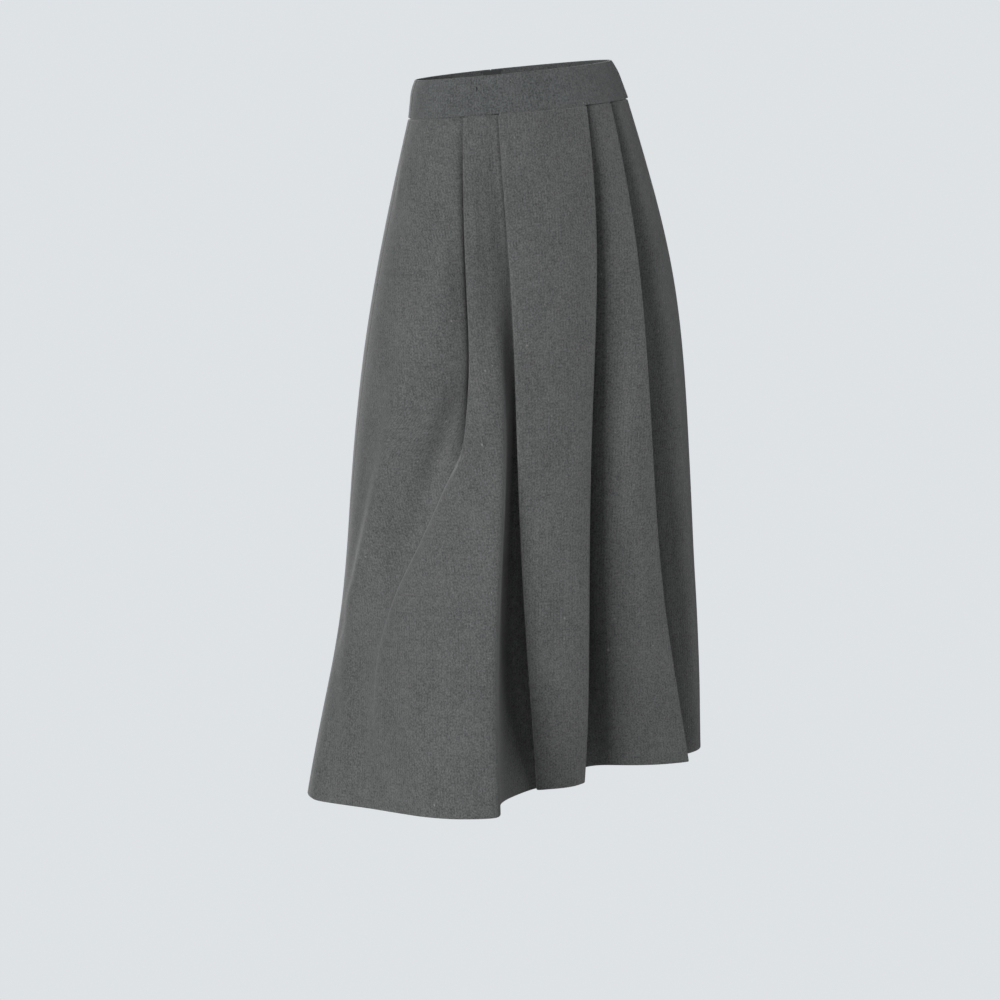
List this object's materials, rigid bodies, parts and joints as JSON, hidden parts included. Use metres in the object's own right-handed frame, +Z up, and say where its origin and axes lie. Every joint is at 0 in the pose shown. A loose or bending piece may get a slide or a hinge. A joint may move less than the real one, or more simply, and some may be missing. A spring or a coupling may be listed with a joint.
{
  "type": "pleated maxi skirt",
  "caption": "Ankle-length wool skirt with outward-facing knife pleats front and back, a plain contoured waistband and a centre-back zip.",
  "frame": {"origin": "middle of the waistband ring, at half its height", "axes": "+Z up, the skirt's front faces -Y, the wearer's left is +X"},
  "size_m": [0.5252, 0.4054, 0.9005],
  "materials": {
    "wool": "matte brushed wool twill",
    "waistband_wool": "matte brushed wool twill",
    "zip_tape": "matte woven tape",
    "zip_metal": "satin"
  },
  "bodies": {
    "skirt": {"front_panel": "wool", "back_panel_left": "wool", "back_panel_right": "wool", "waistband_front": "waistband_wool", "waistband_back_left": "waistband_wool", "waistband_back_right": "waistband_wool", "zip_tape": "zip_tape", "zip_slider": "zip_metal"},
    "zip_pull": {"zip_pull": "zip_metal"}
  },
  "joints": [
    {"name": "zip_pull_hinge", "type": "hinge", "parent": "skirt", "child": "zip_pull", "pos_m": [-0.00554, 0.09903, 0.01507], "axis": [0.9892, 0, 0.1462], "range_deg": [0, 150]}
  ]
}
